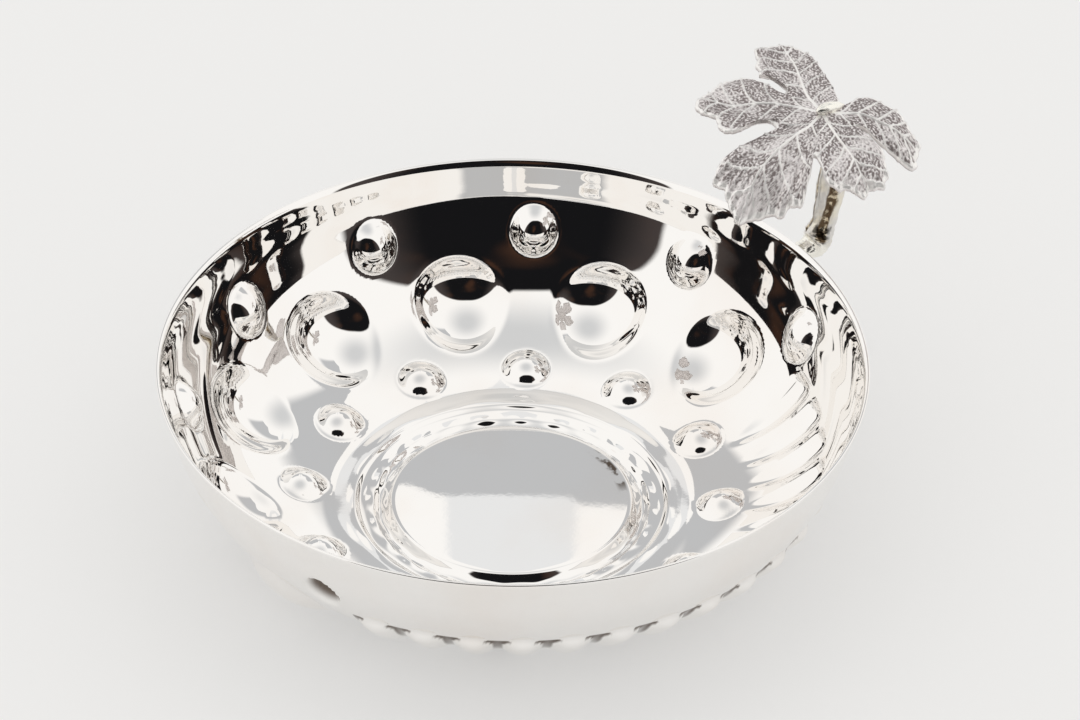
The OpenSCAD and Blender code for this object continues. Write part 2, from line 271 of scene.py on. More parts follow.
def set_point_values(obj, name, values):
    """Store one number per point, for the material."""
    attribute = obj.data.attributes.new(name, "FLOAT", "POINT")
    attribute.data.foreach_set("value", np.asarray(values, np.float32).ravel())


def closed_faces(rows, columns):
    """Faces of a grid whose columns close up, with a fan at each end round one added point."""
    row, column = np.meshgrid(np.arange(rows - 1), np.arange(columns), indexing="ij")
    a = row * columns + column
    b = row * columns + (column + 1) % columns
    quads = np.stack([a, b, b + columns, a + columns], axis=-1)
    faces = quads.reshape(-1, 4).tolist()
    count = rows * columns
    last = count - columns
    for k in range(columns):
        following = (k + 1) % columns
        faces.append([count, following, k])
        faces.append([count + 1, last + k, last + following])
    return faces


def turned_over(faces):
    """Faces that look the other way."""
    return [face[::-1] for face in faces]


# Bowl

def bowl_heights():
    """Heights of the channel's centre, of the floor and of the belly's centre."""
    channel_out = CHANNEL_R + SHEET_T
    channel_z = math.sqrt(channel_out ** 2 - (LAND_W / 2) ** 2)
    floor_z = channel_z - math.sqrt(CHANNEL_R ** 2 - (CHANNEL_W / 2) ** 2)
    return channel_z, floor_z, floor_z + BELLY_R


CHANNEL_Z, FLOOR_Z, BELLY_Z = bowl_heights()
CHANNEL_X = DOME_R + CHANNEL_W / 2


def arc(centre, radius, start, end, count=160):
    """Points of an arc, with angles in radians from the radial direction upwards."""
    turn = np.linspace(start, end, count)
    return np.stack([centre[0] + radius * np.cos(turn), centre[1] + radius * np.sin(turn)], axis=-1)


def wall_line(start, end, count=60):
    """Wall of the section between two points: two straight runs of given leans with a soft knee between."""
    go = np.array([math.sin(WALL_LOW_LEAN), math.cos(WALL_LOW_LEAN)])
    come = np.array([math.sin(WALL_TOP_LEAN), math.cos(WALL_TOP_LEAN)])
    gap = end - start
    knee = start + go * (gap[0] * come[1] - gap[1] * come[0]) / (go[0] * come[1] - go[1] * come[0])
    low = knee - go * KNEE_REACH
    high = knee + come * KNEE_REACH
    t = np.linspace(0, 1, count)[:, None]
    bend = (1 - t) ** 2 * low + 2 * (1 - t) * t * knee + t ** 2 * high
    return np.concatenate([start + (low - start) * t[:-1], bend, high + (end - high) * t[1:]])


def rolled(start, radius, lean, end_lean, count=60):
    """Arc of the section that starts at a point and bends from one lean to another."""
    turn = np.linspace(lean, end_lean, count)
    x = start[0] + radius * (math.cos(lean) - np.cos(turn))
    z = start[1] + radius * (np.sin(turn) - math.sin(lean))
    return np.stack([x, z], axis=-1)


def sheet_side(depth):
    """Section of one face of the sheet, from the axis to the wall: depth 0 is the inside."""
    dome_sphere_r = (DOME_R ** 2 + DOME_RISE ** 2) / (2 * DOME_RISE)
    dome_turn = math.asin(DOME_R / dome_sphere_r)
    dome_centre = (0, FLOOR_Z + DOME_RISE - dome_sphere_r)
    dome = arc(dome_centre, dome_sphere_r - depth, math.pi / 2, math.pi / 2 - dome_turn)
    if depth:
        half = math.asin(CHANNEL_W / 2 / CHANNEL_R)
        centre = (CHANNEL_X, CHANNEL_Z)
        channel = arc(centre, CHANNEL_R + depth, -math.pi / 2 - half, -math.pi / 2 + half)
        channel[:, 1] = np.maximum(channel[:, 1], 0)
    else:
        channel = np.array([(DOME_R + out, FLOOR_Z - below) for out, below in CHANNEL_STEPS])
    belly = arc((BELLY_X, BELLY_Z), BELLY_R + depth, -math.pi / 2, -WALL_LOW_LEAN, 400)
    return np.concatenate([dome, channel, belly])


def bowl_outline():
    """Closed section of the sheet from the axis over the lip and back, with its depth at each point."""
    inside = sheet_side(0)
    outside = sheet_side(SHEET_T)
    roll_x = LIP_ROLL_R * (math.cos(WALL_TOP_LEAN) - math.cos(LIP_ROLL_END))
    roll_z = LIP_ROLL_R * (math.sin(LIP_ROLL_END) - math.sin(WALL_TOP_LEAN))
    start_x = RIM_R - LIP_EDGE_R * (1 + math.cos(LIP_ROLL_END)) - roll_x
    start_z = BOWL_H - LIP_EDGE_R * (1 - math.sin(LIP_ROLL_END)) - roll_z
    roll = rolled((start_x, start_z), LIP_ROLL_R, WALL_TOP_LEAN, LIP_ROLL_END)
    edge = rolled(roll[-1], LIP_EDGE_R, LIP_ROLL_END, math.pi + WALL_TOP_LEAN)
    inner_wall = wall_line(inside[-1], roll[0])
    outer_wall = wall_line(outside[-1], edge[-1])
    first = np.concatenate([inside, inner_wall[1:-1], roll])
    last = np.concatenate([outside, outer_wall[1:]])[::-1]
    edge_depth = np.linspace(0, SHEET_T, len(edge))
    depth = np.concatenate([np.zeros(len(first)), edge_depth, np.full(len(last), SHEET_T)])
    return np.concatenate([first, edge, last]), depth


def run_length(points):
    """Distance along a line of points."""
    steps = np.linalg.norm(np.diff(points, axis=0), axis=1)
    return np.concatenate([[0], np.cumsum(steps)])


def softened(points, depth, step=0.03, reach=0.13):
    """Even points along an outline, with its corners rounded by averaging over a short reach."""
    length = run_length(points)
    places = np.arange(0, length[-1], step)
    even = np.stack([np.interp(places, length, points[:, i]) for i in range(2)], axis=-1)
    span = int(4 * reach / step)
    weights = np.exp(-0.5 * (np.arange(-span, span + 1) * step / reach) ** 2)
    weights /= weights.sum()
    mirrored = even * np.array([-1, 1])
    padded = np.concatenate([mirrored[span:0:-1], even, mirrored[-2:-span - 2:-1]])
    soft = np.stack([np.convolve(padded[:, i], weights, "valid") for i in range(2)], axis=-1)
    return soft, np.interp(places, length, depth)


def thinned(points, depth, widest=0.42, bend_share=0.45, sharpest=4):
    """Fewer points along an outline, closer together where it bends."""
    length = run_length(points)
    run = np.gradient(points, length, axis=0)
    bend = np.linalg.norm(np.gradient(run, length, axis=0), axis=1)
    density = np.cumsum(np.gradient(length) * (1 / widest + np.minimum(bend, sharpest) / bend_share))
    places = np.interp(np.linspace(density[0], density[-1], int(density[-1]) + 1), density, length)
    thin = np.stack([np.interp(places, length, points[:, i]) for i in range(2)], axis=-1)
    return thin, np.interp(places, length, depth)


def outward(points, depth):
    """Direction away from the bowl's inside, at each point of its section."""
    run = np.gradient(points, axis=0)
    run /= np.linalg.norm(run, axis=1)[:, None]
    normal = np.stack([run[:, 1], -run[:, 0]], axis=-1)
    normal[depth > SHEET_T / 2] *= -1
    return normal


def local_places(points, normals, angle, place):
    """Distances of points from a place on the wall: along the ring, along the section, and outwards."""
    turn = math.radians(angle)
    tilt = math.radians(place)
    ring = np.array([math.cos(turn), math.sin(turn), 0])
    up = np.array([0, 0, 1])
    across = np.array([-math.sin(turn), math.cos(turn), 0])
    out = ring * math.cos(tilt) - up * math.sin(tilt)
    along = ring * math.sin(tilt) + up * math.cos(tilt)
    base = ring * (BELLY_X + BELLY_R * math.cos(tilt)) + up * (BELLY_Z - BELLY_R * math.sin(tilt))
    gap = points - base
    facing = np.maximum(normals @ out, LEAST_FACING)
    return gap @ across, gap @ along, gap @ out, facing


def cups_depth(points, normals, depth):
    """How far the cups press the sheet outwards: steeper above, shallower below."""
    deepest = np.full(len(points), FAR_BELOW)
    for angle in CUP_ANGLES:
        across, along, out, facing = local_places(points, normals, angle, CUP_PLACE)
        upright_r = np.where(along > 0, CUP_TOP_R, CUP_LOW_R) + depth
        rise = across ** 2 / (2 * (CUP_SIDE_R + depth)) + along ** 2 / (2 * upright_r)
        hollow = CUP_DEPTH + depth - rise - rise ** 2 / (2 * CUP_SIDE_R)
        deepest = np.maximum(deepest, (hollow - out) / facing)
    return deepest


def bosses_rise(points, normals, depth, angles, place, half, rise):
    """How far a ring of bosses presses the sheet inwards."""
    highest = np.full(len(points), FAR_BELOW)
    sphere_r = (half[0] ** 2 + rise ** 2) / (2 * rise)
    stretch = half[1] / half[0]
    for angle in angles:
        across, along, out, facing = local_places(points, normals, angle, place)
        radius = sphere_r - depth
        share = (across ** 2 + (along / stretch) ** 2) / radius ** 2
        cap = rise - sphere_r + radius * np.sqrt(np.maximum(1 - share, 0))
        cap = cap - BOSS_FALL * np.maximum(share - BOSS_END, 0)
        highest = np.maximum(highest, (cap + out) / facing)
    return highest


def flutes_depth(angle, place, radius, depth):
    """How far the flutes press the sheet outwards: blunt heads above, running out below."""
    first = FLUTE_MID - (FLUTE_COUNT - 1) / 2 * FLUTE_STEP
    turn = (np.degrees(angle) - first + 180) % 360 - 180
    number = np.clip(np.round(turn / FLUTE_STEP), 0, FLUTE_COUNT - 1)
    across = np.radians(turn - number * FLUTE_STEP) * radius
    fall = 1 - np.cos(np.radians(place - FLUTE_HEAD))
    run_out = 1 - fall / (1 - math.cos(math.radians(FLUTE_LOW - FLUTE_HEAD)))
    above = np.maximum(FLUTE_HEAD - place, 0) * math.radians(1) * BELLY_R / FLUTE_HEAD_LEN
    head = np.sqrt(np.maximum(1 - above ** 2, 0)) - FLUTE_FALL * np.maximum(above - FLUTE_END, 0)
    below = np.where(place > FLUTE_HEAD, FLUTE_DEPTH * run_out, FLUTE_DEPTH * head)
    return below - across ** 2 / (2 * (FLUTE_R + depth))


def channel_wave(points, radius):
    """Punched dents in the channel's two steps: below each lower boss, and longer ones between them."""
    turn = np.arctan2(points[:, 1], points[:, 0]) - math.radians(LOWER_BOSS_ANGLES[0])
    once = np.cos(len(LOWER_BOSS_ANGLES) * turn)
    twice = np.cos(2 * len(LOWER_BOSS_ANGLES) * turn)
    inner = (radius - DOME_R - INNER_DENT_OUT) / INNER_DENT_HALF
    outer = (radius - DOME_R - OUTER_DENT_OUT) / OUTER_DENT_HALF
    wave = (INNER_DENT_H * twice - INNER_DENT_UNEVEN * once) * inner * np.exp(-inner ** 2)
    return -wave - OUTER_DENT_H * once * outer * np.exp(-outer ** 2)


def hand_wave(points):
    """Slight unevenness of a hand-raised wall."""
    turn = np.arctan2(points[:, 1], points[:, 0])
    height = points[:, 2]
    wave = np.sin(7 * turn + 0.21 * height + 0.7) + 0.7 * np.sin(13 * turn - 0.33 * height + 2.1)
    wave += 0.5 * np.sin(0.62 * height + 3 * turn + 1.3)
    return HAND_WAVE_H * wave


def turned_sheet(outline, depth, turns):
    """Points of a section turned round the axis, with their outward directions and depths in the sheet."""
    normal = outward(outline, depth)[1:-1]
    angle = np.arange(turns) / turns * TAU
    ring = np.stack([np.cos(angle), np.sin(angle)], axis=-1)
    inner = outline[1:-1]
    points = np.empty((len(inner), turns, 3))
    points[..., :2] = inner[:, None, :1] * ring[None]
    points[..., 2] = inner[:, None, 1]
    normals = np.empty_like(points)
    normals[..., :2] = normal[:, None, :1] * ring[None]
    normals[..., 2] = normal[:, None, 1]
    return points.reshape(-1, 3), normals.reshape(-1, 3), np.repeat(depth[1:-1], turns)


def painted_shade_share(points, place, fluted, raised):
    """Where the outside gets painted shade: behind the bosses and at the heads of the gaps between flutes.
    """
    between = np.clip((GAP_FROM - fluted) / GAP_FADE, 0, 1)
    between *= (place > FLUTE_HEAD - GAP_ABOVE_HEAD) * (place < FLUTE_LOW)
    first = FLUTE_MID - FLUTE_COUNT / 2 * FLUTE_STEP
    turn = np.degrees(np.arctan2(points[:, 1], points[:, 0]))
    between *= (turn - first) % 360 < FLUTE_COUNT * FLUTE_STEP
    between *= np.clip((FLUTE_HEAD + GAP_END - place) / GAP_RUN, 0, 1)
    return np.maximum(np.clip(raised / SHADED_BOSS, 0, 1), between)


def build_bowl(turns=640):
    """The bowl: one sheet turned round the axis, with its chased relief."""
    outline, depth = thinned(*softened(*bowl_outline()))
    outline[0, 0] = 0
    outline[-1, 0] = 0
    points, normals, sheet_depth = turned_sheet(outline, depth, turns)
    angle = np.arctan2(points[:, 1], points[:, 0])
    radius = np.hypot(points[:, 0], points[:, 1])
    place = np.degrees(np.arctan2(BELLY_Z - points[:, 2], np.maximum(radius - BELLY_X, 1e-3)))
    on_wall = radius > BELLY_X
    on_lip = points[:, 2] > BOWL_H - LIP_H
    outside = sheet_depth > SHEET_T / 2

    cups = smooth_max(cups_depth(points, normals, sheet_depth), 0, CUP_BLEND)
    fluted = flutes_depth(angle, place, radius, sheet_depth)
    pressed = np.where(on_wall, smooth_max(fluted, cups, FLUTE_BLEND), 0)
    upper = bosses_rise(points, normals, sheet_depth, UPPER_BOSS_ANGLES, UPPER_BOSS_PLACE,
                        UPPER_BOSS_HALF, UPPER_BOSS_RISE)
    lower = bosses_rise(points, normals, sheet_depth, LOWER_BOSS_ANGLES, LOWER_BOSS_PLACE,
                        LOWER_BOSS_HALF, LOWER_BOSS_RISE)
    raised = smooth_max(np.maximum(upper, lower), 0, BOSS_BLEND)
    relief = np.where(on_lip, 0, pressed - raised) + hand_wave(points) * on_wall * ~on_lip
    relief += channel_wave(points, radius) * (sheet_depth < SHEET_T / 2)
    points = points + normals * relief[:, None]
    points[:, 2] = np.maximum(points[:, 2], 0)

    ends = np.array([[0, 0, outline[0, 1]], [0, 0, outline[-1, 1]]])
    faces = turned_over(closed_faces(len(outline) - 2, turns))
    obj = make_mesh("bowl_shell", np.concatenate([points, ends]), faces)
    # painted shade on the outside, behind the bosses and at the flute gaps
    dent_shade = outside * painted_shade_share(points, place, fluted, raised)
    set_point_values(obj, "dent_shade", np.concatenate([dent_shade, [0, 0]]))
    return obj


# Leaf

def angle_gap(a, b):
    """Signed smallest difference between two angles in degrees."""
    return (a - b + 540) % 360 - 180


def smooth_line(points, step):
    """Even points along a rounded closed line through given points."""
    points = np.array(points, float)
    before = np.roll(points, 1, axis=0)
    after = np.roll(points, -1, axis=0)
    beyond = np.roll(points, -2, axis=0)
    t = np.linspace(0, 1, 24, endpoint=False)[None, :, None]
    a, b, c, d = (p[:, None, :] for p in (before, points, after, beyond))
    bend = b + 0.5 * t * (c - a + t * (2 * a - 5 * b + 4 * c - d + t * (3 * (b - c) + d - a)))
    line = bend.reshape(-1, points.shape[1])
    closed = np.concatenate([line, line[:1]])
    length = run_length(closed[:, :2])
    places = np.arange(int(length[-1] / step)) * step
    even = [np.interp(places, length, values) for values in closed.T]
    return np.stack(even, axis=-1), places


def leaf_edge():
    """Leaf's toothed edge: places with their drop, and the angles that lines to it leave and arrive at."""
    corners = []
    for lobe in LEAF_LOBES:
        for angle, out, drop in lobe:
            turn = math.radians(angle)
            corners.append((out * math.cos(turn), out * math.sin(turn), drop))
    line, places = smooth_line(corners, EDGE_STEP)
    out = np.linalg.norm(line[:, :2], axis=1)
    tooth = TOOTH_H * (1 - np.abs(np.cos(math.pi * places / TOOTH_STEP)))
    tooth *= np.clip((out - TEETH_FROM) / TEETH_FADE, 0, 1)
    line[:, :2] *= (1 - tooth / out)[:, None]
    start = math.radians(LEAF_LOBES[0][0][0])
    bend = np.unwrap(np.arctan2(line[:, 1], line[:, 0]))
    bend += start - bend[0]
    slow = np.concatenate([bend - TAU, bend, bend + TAU])
    reach = 60
    kernel = np.hanning(2 * reach + 1)
    kernel /= kernel.sum()
    slow = np.convolve(slow, kernel, "same")[len(bend):2 * len(bend)]
    return line, slow, bend


def ridge(aside, half_width):
    """Rounded ridge across a vein: 1 on its middle line, 0 past its half-width."""
    share = np.clip(np.abs(aside) / half_width, 0, 1)
    return (1 - share * share) ** 2


def leaf_veins(plane):
    """Veins as a height from 0 to 1: one along each lobe and pairs of side veins that leave it."""
    angle = np.degrees(np.arctan2(plane[..., 1], plane[..., 0]))
    out = np.linalg.norm(plane, axis=-1)
    gaps = np.stack([np.abs(angle_gap(angle, axis)) for axis in LOBE_AXES])
    number = np.argmin(gaps, axis=0)
    height = np.zeros_like(out)
    for i, (axis, length) in enumerate(zip(LOBE_AXES, LOBE_LENGTHS)):
        turn = np.radians(angle_gap(angle, axis))
        along = out * np.cos(turn)
        bow = VEIN_BOWS[i % 2] * np.sin(along * 0.4)
        aside = np.abs(out * np.sin(turn) - bow)
        taper = np.clip(1.25 - along / length, 0.3, 1)
        vein = ridge(aside, VEIN_W * taper)
        for start in SIDE_VEIN_STARTS:
            past = along - start * length
            ahead = past * math.cos(SIDE_VEIN_TURN) + aside * math.sin(SIDE_VEIN_TURN)
            beside = aside * math.cos(SIDE_VEIN_TURN) - past * math.sin(SIDE_VEIN_TURN)
            beside = beside - SIDE_VEIN_BEND * ahead ** 2
            side = ridge(beside, VEIN_W * SIDE_VEIN_SHARE) * (ahead > 0) * SIDE_VEIN_HEIGHT
            vein = np.maximum(vein, side)
        height = np.where(number == i, np.maximum(height, vein), height)
    return height


def stipple(points, size, seed):
    """Small uneven bumps of a matted cast face, from -1 to 1."""
    values = [noise.noise(Vector((x / size, y / size, seed))) for x, y in points]
    return np.array(values)


def leaf_face(edge, leave, arrive, count, seed):
    """One face of the leaf as rings of points: their plan, fall, veins, raised rim, matting and swell."""
    edge_out = np.linalg.norm(edge[:, :2], axis=1)
    share = np.linspace(0, 1, count + 1)[1:, None] ** 0.85
    out = share * edge_out[None]
    turn = leave + (arrive - leave) * share ** 4
    plane = np.stack([out * np.cos(turn), out * np.sin(turn)], axis=-1)
    curl = np.clip(1 - (edge_out[None] - out) / CURL_W, 0, 1) ** 2
    fall = edge[None, :, 2] * share ** 3 + EDGE_CURL * curl
    rim = np.clip(1 - (edge_out[None] - out) / LEAF_RIM_W, 0, 1)
    flat = plane.reshape(-1, 2)
    matt = stipple(flat, MATT_SIZE, seed).reshape(out.shape)
    swell = LEAF_SWELL * stipple(flat, SWELL_SIZE, SWELL_SEED).reshape(out.shape)
    return plane, fall, leaf_veins(plane), rim, matt, swell


def clear_of_seat(plane):
    """Share of the relief that a place keeps: none where the leaf is soldered to the stem."""
    return np.clip((np.linalg.norm(plane, axis=-1) - SEAT_R) / SEAT_FADE, 0, 1)


def build_leaf(rings=70, under_rings=16):
    """Cast vine leaf: toothed lobes with veins, a matted face, a raised edge and a plainer underside."""
    edge, leave, arrive = leaf_edge()
    turns = len(edge)
    plane, fall, vein, rim, matt, swell = leaf_face(edge, leave, arrive, rings, TOP_SEED)
    field = (1 - vein) * (1 - rim)
    relief = clear_of_seat(plane) * (VEIN_H * vein + LEAF_RIM_H * rim + MATT_H * matt * field + swell)
    top = np.concatenate([plane, (relief - fall)[..., None]], axis=-1).reshape(-1, 3)

    under = leaf_face(edge, leave, arrive, under_rings, UNDER_SEED)
    plane_b, fall_b, vein_b, _, matt_b, swell_b = under
    edge_share = np.linspace(0, 1, under_rings + 1)[1:, None] ** 1.5
    thickness = LEAF_T - (LEAF_T - LEAF_EDGE_T) * edge_share
    relief_b = UNDER_VEIN_H * vein_b + UNDER_MATT_H * matt_b + clear_of_seat(plane_b) * swell_b
    bottom = np.concatenate([plane_b, (relief_b - fall_b - thickness)[..., None]], axis=-1)

    middle = top[-turns:] * 0.5 + bottom[-1] * 0.5
    middle[:, :2] *= 1 + EDGE_BULGE / np.linalg.norm(edge[:, :2], axis=1)[:, None]
    points = np.concatenate([top, middle, bottom[::-1].reshape(-1, 3), [[0, 0, 0], [0, 0, -LEAF_T]]])
    spin = np.array([[math.cos(LEAF_TURN), -math.sin(LEAF_TURN)],
                     [math.sin(LEAF_TURN), math.cos(LEAF_TURN)]])
    points[:, :2] = points[:, :2] @ spin.T
    points += np.array([LEAF_X, 0, SEAT_Z])
    faces = turned_over(closed_faces(rings + 1 + under_rings, turns))
    obj = make_mesh("vine_leaf", points, faces)
    plain = np.zeros(turns * (1 + under_rings) + 2)
    set_point_values(obj, "bright", np.concatenate([np.maximum(vein, rim).ravel(), plain]))
    # tone of the pits, lightened by painted light where lobes hang low
    hollow = field * (0.5 - matt) - LOW_PAINTED_LIGHT * np.clip(fall / LOW_FALL, 0, 1)
    set_point_values(obj, "hollow", np.concatenate([hollow.ravel(), plain]))
    return obj


# Stem

STEM_RISE = np.array([
    [RIM_R - FOOT_SUNK, BOWL_H - FOOT_DROP],
    [RIM_R + 0.74 * STEM_REACH, BOWL_H - FOOT_DROP - 0.58 * FOOT_D],
    [RIM_R + STEM_REACH - 1.2 * STEM_D, BOWL_H - FOOT_DROP + 0.2 * LEAF_RISE],
    [RIM_R + STEM_REACH, SEAT_Z - 2 * TIP_D],
])
STEM_CROOK = np.array([
    STEM_RISE[3],
    [RIM_R + STEM_REACH + 0.1 * TIP_D, SEAT_Z - 0.75 * TIP_D],
    [RIM_R + STEM_REACH - 0.5 * TIP_D, SEAT_Z + 0.2 * TIP_D],
    [LEAF_X - 0.6 * TIP_D, SEAT_Z + 0.27 * TIP_D],
])
CROOK_AT = 0.7
# Radius along the stem: heel, waist, swelling under the leaf, thin crook and bead
STEM_RADII = [(0, 1.0), (0.06, 1.15), (0.13, 1.45), (0.2, 1.75), (0.27, 2.05), (0.36, 1.55), (0.49, 1.9),
              (0.6, 1.85), (0.7, 1.15), (0.82, 0.7), (0.9, 0.75), (0.95, 0.8), (1, 0.8)]
# Places along the stem, as shares of its length: the bead's round end, the grooves, the bright parts
BEAD_AT = 0.945
BEAD_LEN = 0.0552
GROOVE_FROM = 0.2
GROOVE_TO = 0.66
HEEL_TO = 0.24
CROOK_FROM = 0.8
SMOOTH_FROM = 0.9
# Four grooves: place round the stem of the one that the photo shows, twist, half-width and depth
GROOVE_TURN = math.radians(-54)
GROOVE_TWIST = 0.6
GROOVE_HALF = 0.42
GROOVE_DEPTH = 0.2
# Bark: height, and grains round the stem and along it
BARK_H = 0.12
BARK_GRAINS = (1.6, 16)
FINE_BARK_H = 0.05
FINE_BARK_GRAINS = (4.8, 50)


def cubic(points, t):
    """Place on a cubic curve."""
    weights = np.stack([(1 - t) ** 3, 3 * (1 - t) ** 2 * t, 3 * (1 - t) * t ** 2, t ** 3], axis=-1)
    return weights @ points


def bark_noise(t, turn, grains):
    """Unevenness of the bark, from -1 to 1, along and round the stem."""
    around, along = grains
    ring = [(math.cos(a) * around, math.sin(a) * around) for a in turn]
    return np.array([[noise.noise(Vector((x, y, s * along))) for x, y in ring] for s in t])


def build_stem(steps=260, sides=112):
    """Cast twig: a heel on the rim, a grooved upright with a waist, and a bead curled onto the leaf."""
    t = np.linspace(0, 1, steps)
    rise = cubic(STEM_RISE, np.clip(t / CROOK_AT, 0, 1))
    crook = cubic(STEM_CROOK, np.clip((t - CROOK_AT) / (1 - CROOK_AT), 0, 1))
    line = np.where((t < CROOK_AT)[:, None], rise, crook)
    run = np.gradient(line, axis=0)
    run /= np.linalg.norm(run, axis=1)[:, None]
    taper = np.interp(t, *zip(*STEM_RADII))
    tip = np.sqrt(np.clip(1 - (np.clip(t - BEAD_AT, 0, 1) / BEAD_LEN) ** 2, 0.0, 1))
    turn = np.arange(sides) / sides * TAU
    quarter = TAU / 4
    twist = turn[None] - GROOVE_TURN + GROOVE_TWIST * (t[:, None] - CROOK_AT / 2)
    gap = np.abs((twist / quarter + 0.5) % 1 - 0.5) * quarter
    upright = np.clip((t - GROOVE_FROM) / 0.06, 0, 1) * np.clip((GROOVE_TO - t) / 0.08, 0, 1)
    groove = np.exp(-(gap / GROOVE_HALF) ** 2) * upright[:, None]
    rough = bark_noise(t, turn, BARK_GRAINS)
    fine = bark_noise(t, turn, FINE_BARK_GRAINS)
    smooth = np.clip((SMOOTH_FROM - t) / 0.1, 0.05, 1)[:, None]
    bark = (BARK_H * rough + FINE_BARK_H * fine) * smooth - GROOVE_DEPTH * groove
    radius = taper[:, None] * (1 + bark) * np.maximum(tip, 0.02)[:, None]
    points = np.empty((steps, sides, 3))
    points[..., 0] = line[:, None, 0] - radius * np.cos(turn) * run[:, None, 1]
    points[..., 1] = radius * np.sin(turn)
    points[..., 2] = line[:, None, 1] + radius * np.cos(turn) * run[:, None, 0]
    ends = [[line[0, 0], 0, line[0, 1]], [line[-1, 0], 0, line[-1, 1]]]
    points = np.concatenate([points.reshape(-1, 3), ends])
    obj = make_mesh("vine_twig", points, closed_faces(steps, sides))
    # the groove mask also places the grooves' painted shade
    set_point_values(obj, "groove", np.concatenate([(groove - 0.5 * rough).ravel(), [0, 0]]))
    worn = np.maximum(np.clip((HEEL_TO - t) / 0.05, 0, 1), np.clip((t - CROOK_FROM) / 0.06, 0, 1))
    set_point_values(obj, "worn", np.concatenate([np.repeat(worn, sides), [1, 1]]))
    return obj


# Camera and studio

def build_camera():
    """Camera at the photo's place, with its slight roll."""
    right = Vector((math.cos(CAMERA_AZIMUTH), math.sin(CAMERA_AZIMUTH), 0))
    away = Vector((-math.sin(CAMERA_AZIMUTH), math.cos(CAMERA_AZIMUTH), 0))
    up = Vector((0, 0, 1))
    rim_centre = up * BOWL_H
    back = -away * math.cos(CAMERA_ELEVATION) + up * math.sin(CAMERA_ELEVATION)
    place = rim_centre + back * CAMERA_DISTANCE
    target = rim_centre + right * CAMERA_ASIDE + up * CAMERA_ABOVE
    forward = (target - place).normalized()
    level = forward.cross(up).normalized()
    top = level.cross(forward)
    side = level * math.cos(CAMERA_ROLL) + top * math.sin(CAMERA_ROLL)
    head = top * math.cos(CAMERA_ROLL) - level * math.sin(CAMERA_ROLL)
    data = bpy.data.cameras.new("photo_camera")
    data.sensor_width = SENSOR_W
    data.lens = FOCAL_LENGTH
    data.clip_end = 20
    camera = bpy.data.objects.new("photo_camera", data)
    turn = Matrix((side, head, -forward)).transposed().to_4x4()
    camera.matrix_world = Matrix.Translation(place * MM) @ turn
    bpy.context.scene.collection.objects.link(camera)
    bpy.context.scene.camera = camera


class Nodes:
    """Short way to add and join shader nodes."""

    def __init__(self, tree):
        self.tree = tree
        tree.nodes.clear()

    def add(self, kind, inputs=None, **settings):
        """New node with its settings and inputs: numbers, colours or other nodes' outputs."""
        node = self.tree.nodes.new(kind)
        for name, value in settings.items():
            setattr(node, name, value)
        for name, value in (inputs or {}).items():
            if isinstance(value, bpy.types.NodeSocket):
                self.tree.links.new(value, node.inputs[name])
            else:
                node.inputs[name].default_value = value
        return node

    def math(self, operation, a, b=0.0):
        """Output of a calculation with one or two numbers."""
        return self.add("ShaderNodeMath", {0: a, 1: b}, operation=operation).outputs[0]

    def product(self, result, *others):
        """Output of several numbers multiplied."""
        for value in others:
            result = self.math("MULTIPLY", result, value)
        return result

    def total(self, result, *others):
        """Output of several numbers added up."""
        for value in others:
            result = self.math("ADD", result, value)
        return result

    def dot(self, a, b):
        """Output of how far one direction runs along another."""
        node = self.add("ShaderNodeVectorMath", {0: a, 1: b}, operation="DOT_PRODUCT")
        return node.outputs["Value"]

    def cloud(self, place, scale, detail):
        """Output of a noise texture."""
        inputs = {"Vector": place, "Scale": scale, "Detail": detail}
        return self.add("ShaderNodeTexNoise", inputs).outputs["Fac"]

    def ramp(self, value, low, high, start=0.0, end=1.0):
        """Output that goes smoothly from start to end as a value goes from low to high."""
        inputs = {"Value": value, "From Min": low, "From Max": high, "To Min": start, "To Max": end}
        node = self.add("ShaderNodeMapRange", inputs, interpolation_type="SMOOTHSTEP")
        return node.outputs["Result"]

    def mix(self, share, a, b):
        """Colour between two colours."""
        node = self.add("ShaderNodeMix", {0: share, 6: a, 7: b}, data_type="RGBA")
        return node.outputs[2]

    def metal(self, colour, metallic, roughness, height, strength, distance):
        """Finish a material as metal with a fine bump."""
        inputs = {"Height": height, "Strength": strength, "Distance": distance}
        bump = self.add("ShaderNodeBump", inputs)
        shader = self.add("ShaderNodeBsdfPrincipled", {
            "Base Color": colour, "Metallic": metallic, "Roughness": roughness, "Normal": bump.outputs[0]})
        self.add("ShaderNodeOutputMaterial", {"Surface": shader.outputs[0]})


def rgba(colour):
    """Colour with full cover."""
    return (*colour, 1.0)


def new_material(name):
    """Empty material and its nodes."""
    material = bpy.data.materials.new(name)
    material.use_nodes = True
    return material, Nodes(material.node_tree)


